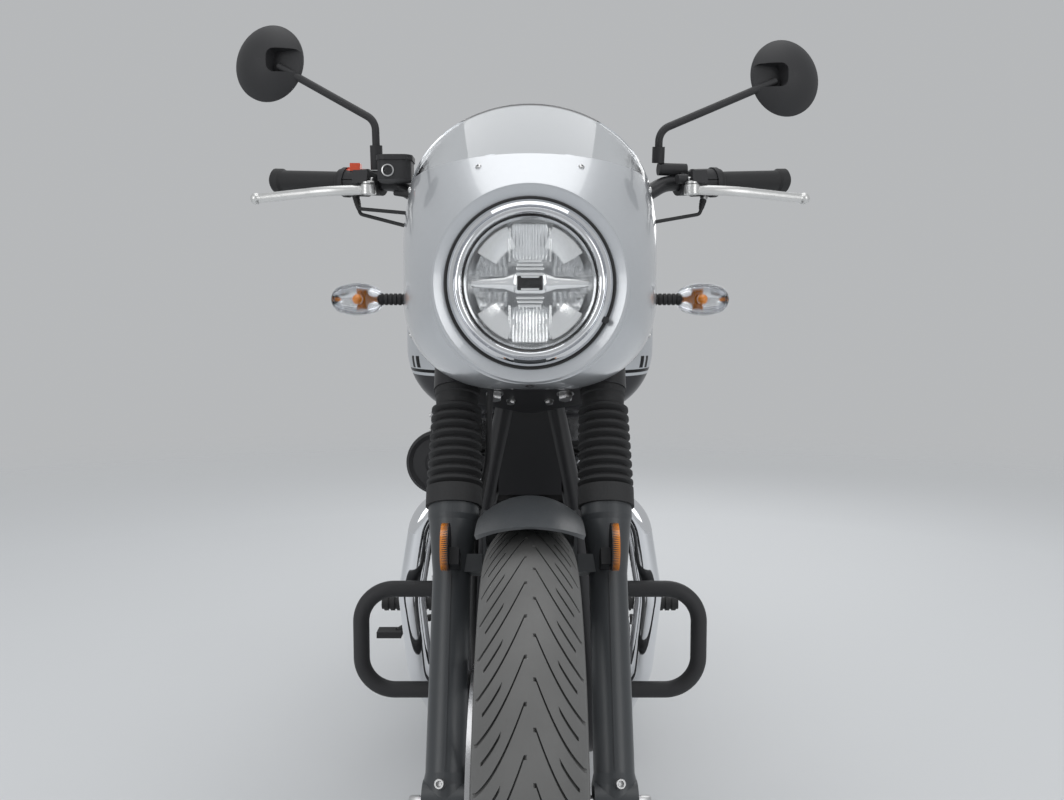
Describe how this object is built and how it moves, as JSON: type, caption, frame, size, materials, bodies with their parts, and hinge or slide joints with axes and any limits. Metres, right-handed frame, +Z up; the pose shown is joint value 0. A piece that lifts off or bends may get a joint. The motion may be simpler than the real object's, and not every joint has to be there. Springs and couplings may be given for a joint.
{
  "type": "cafe racer motorcycle",
  "caption": "Cafe racer motorcycle with an upright air-cooled twin, wire wheels, round headlamp in a half cowl, low bars and a centre stand.",
  "frame": {"origin": "on the floor, at the middle of the overall length and width, with the bike upright on its centre stand", "axes": "+X towards the front wheel, +Y to the rider's left, +Z up"},
  "size_m": [2.1378, 0.8668, 1.2985],
  "materials": {
    "silver_paint": "gloss metallic",
    "graphite_paint": "gloss",
    "black_frame": "satin",
    "black_fork": "satin",
    "chrome": "mirror bright",
    "steel": "machined",
    "aluminium": "cast",
    "polished_covers": "polished",
    "wheel_black": "gloss",
    "tyre": "matte",
    "rubber": "matte",
    "black_plastic": "matte",
    "clear": "clear",
    "lamp_clear": "clear",
    "amber": "reflector",
    "red_lens": "lens",
    "seat_cover": "grained"
  },
  "bodies": {
    "chassis": {"frame": "black_frame", "swingarm": "black_frame", "rear_shocks": "chrome", "drive_chain": "steel", "chain_guard": "black_fork", "rear_fender": "black_fork", "plate_holder": "black_fork", "tail_light": "red_lens", "fuel_tank": "silver_paint", "fuel_cap": "chrome", "seat": "seat_cover", "side_panels": "graphite_paint", "engine_guards": "black_frame", "horn": "black_plastic", "foot_controls": "rubber", "header_pipes": "chrome", "mufflers": "chrome", "intake": "black_plastic", "rear_bolts": "steel", "rear_caliper": "black_fork", "rear_turn_signals": "lamp_clear", "crankcase": "aluminium", "engine_side_covers": "polished_covers", "cylinder_block": "aluminium", "cylinder_head": "aluminium", "cam_cover": "polished_covers", "cam_drive_tower": "polished_covers"},
    "steering": {"triple_clamp": "black_frame", "fork_tubes": "steel", "fork_sliders": "black_fork", "fork_gaiters": "rubber", "front_axle": "steel", "front_fender": "black_fork", "front_caliper": "black_fork", "front_reflectors": "amber", "handlebar": "black_fork", "grips": "rubber", "hand_controls": "black_plastic", "levers": "aluminium", "mirrors": "black_plastic", "cowl": "silver_paint", "windscreen": "clear", "headlamp_shell": "black_fork", "headlamp_rim": "chrome", "headlamp_glass": "clear", "headlamp_reflector": "chrome", "front_turn_signals": "lamp_clear", "instruments": "black_plastic", "control_cables": "rubber"},
    "front_wheel": {"front_tyre": "tyre", "front_wheel": "wheel_black", "front_brake_disc": "steel"},
    "rear_wheel": {"rear_tyre": "tyre", "rear_wheel": "wheel_black", "rear_brake_disc": "steel", "rear_sprocket": "steel"},
    "centre_stand": {"centre_stand": "black_frame"},
    "side_stand": {"side_stand": "black_frame"}
  },
  "joints": [
    {"name": "steering", "type": "hinge", "parent": "chassis", "child": "steering", "pos_m": [0.43554, 0, 0.83417], "axis": [-0.4384, 0, 0.8988], "range_deg": [-34, 34]},
    {"name": "front_spin", "type": "hinge", "parent": "steering", "child": "front_wheel", "pos_m": [0.748, 0, 0.319], "axis": [0, 1, 0], "continuous": true},
    {"name": "rear_spin", "type": "hinge", "parent": "chassis", "child": "rear_wheel", "pos_m": [-0.717, 0, 0.349], "axis": [0, 1, 0], "continuous": true},
    {"name": "centre_stand_fold", "type": "hinge", "parent": "chassis", "child": "centre_stand", "pos_m": [-0.232, 0, 0.236], "axis": [0, 1, 0], "range_deg": [0, 70]},
    {"name": "side_stand_swing", "type": "hinge", "parent": "chassis", "child": "side_stand", "pos_m": [0.02, 0.126, 0.18], "axis": [-0.0773, -0.7727, -0.6301], "range_deg": [0, 93]}
  ]
}
